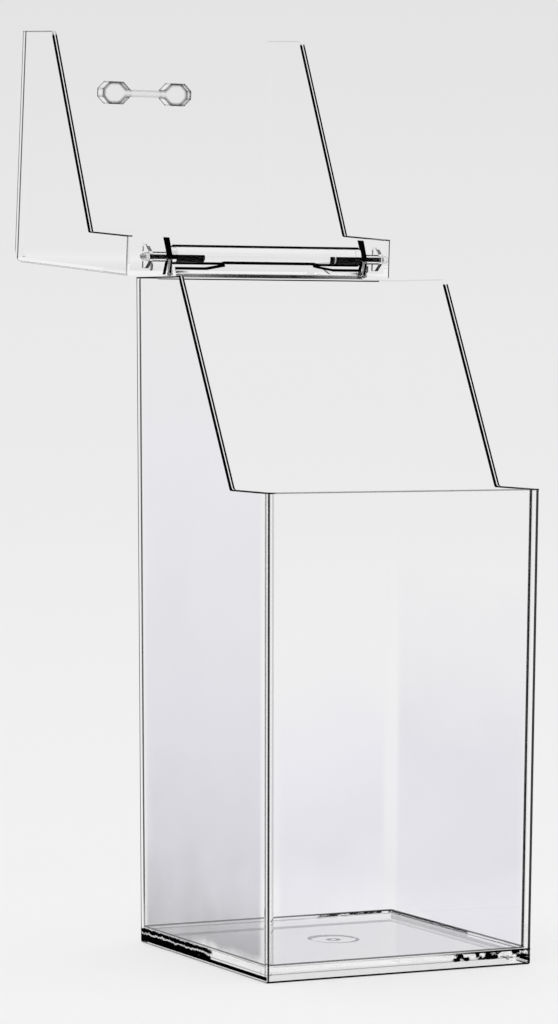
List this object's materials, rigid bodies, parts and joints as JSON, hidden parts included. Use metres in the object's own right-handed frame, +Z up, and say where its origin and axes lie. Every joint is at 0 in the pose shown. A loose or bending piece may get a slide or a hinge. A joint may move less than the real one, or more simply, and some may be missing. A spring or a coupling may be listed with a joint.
{
  "type": "dog waste bin",
  "caption": "Square clear plastic waste bin with a slanting mouth and a hood-shaped lid that swings back on a rear pin hinge, lifted by a bone-shaped grip.",
  "frame": {"origin": "centre of the foot, on the surface that the bin stands on", "axes": "+X to the right across the front, +Y to the rear where the hinge is, +Z up; the lid is stored open"},
  "size_m": [0.156, 0.3208, 0.4867],
  "materials": {
    "bin_clear": "polished clear moulding",
    "lid_clear": "polished clear moulding",
    "hinge_clear": "polished clear moulding",
    "grip_clear": "polished clear moulding",
    "pin_steel": "ground, dark"
  },
  "bodies": {
    "bin": {"bin_body": "bin_clear", "hinge_knuckle": "hinge_clear", "hinge_pin_left": "pin_steel", "hinge_pin_right": "pin_steel"},
    "lid": {"lid_shell": "lid_clear", "hinge_bracket_left": "hinge_clear", "hinge_bracket_right": "hinge_clear", "hinge_cap_left": "hinge_clear", "hinge_cap_right": "hinge_clear", "bone_grip": "grip_clear"}
  },
  "joints": [
    {"name": "lid_hinge", "type": "hinge", "parent": "bin", "child": "lid", "pos_m": [0, 0.0817, 0.3596], "axis": [1, 0, 0], "range_deg": [0, 176.4]}
  ]
}
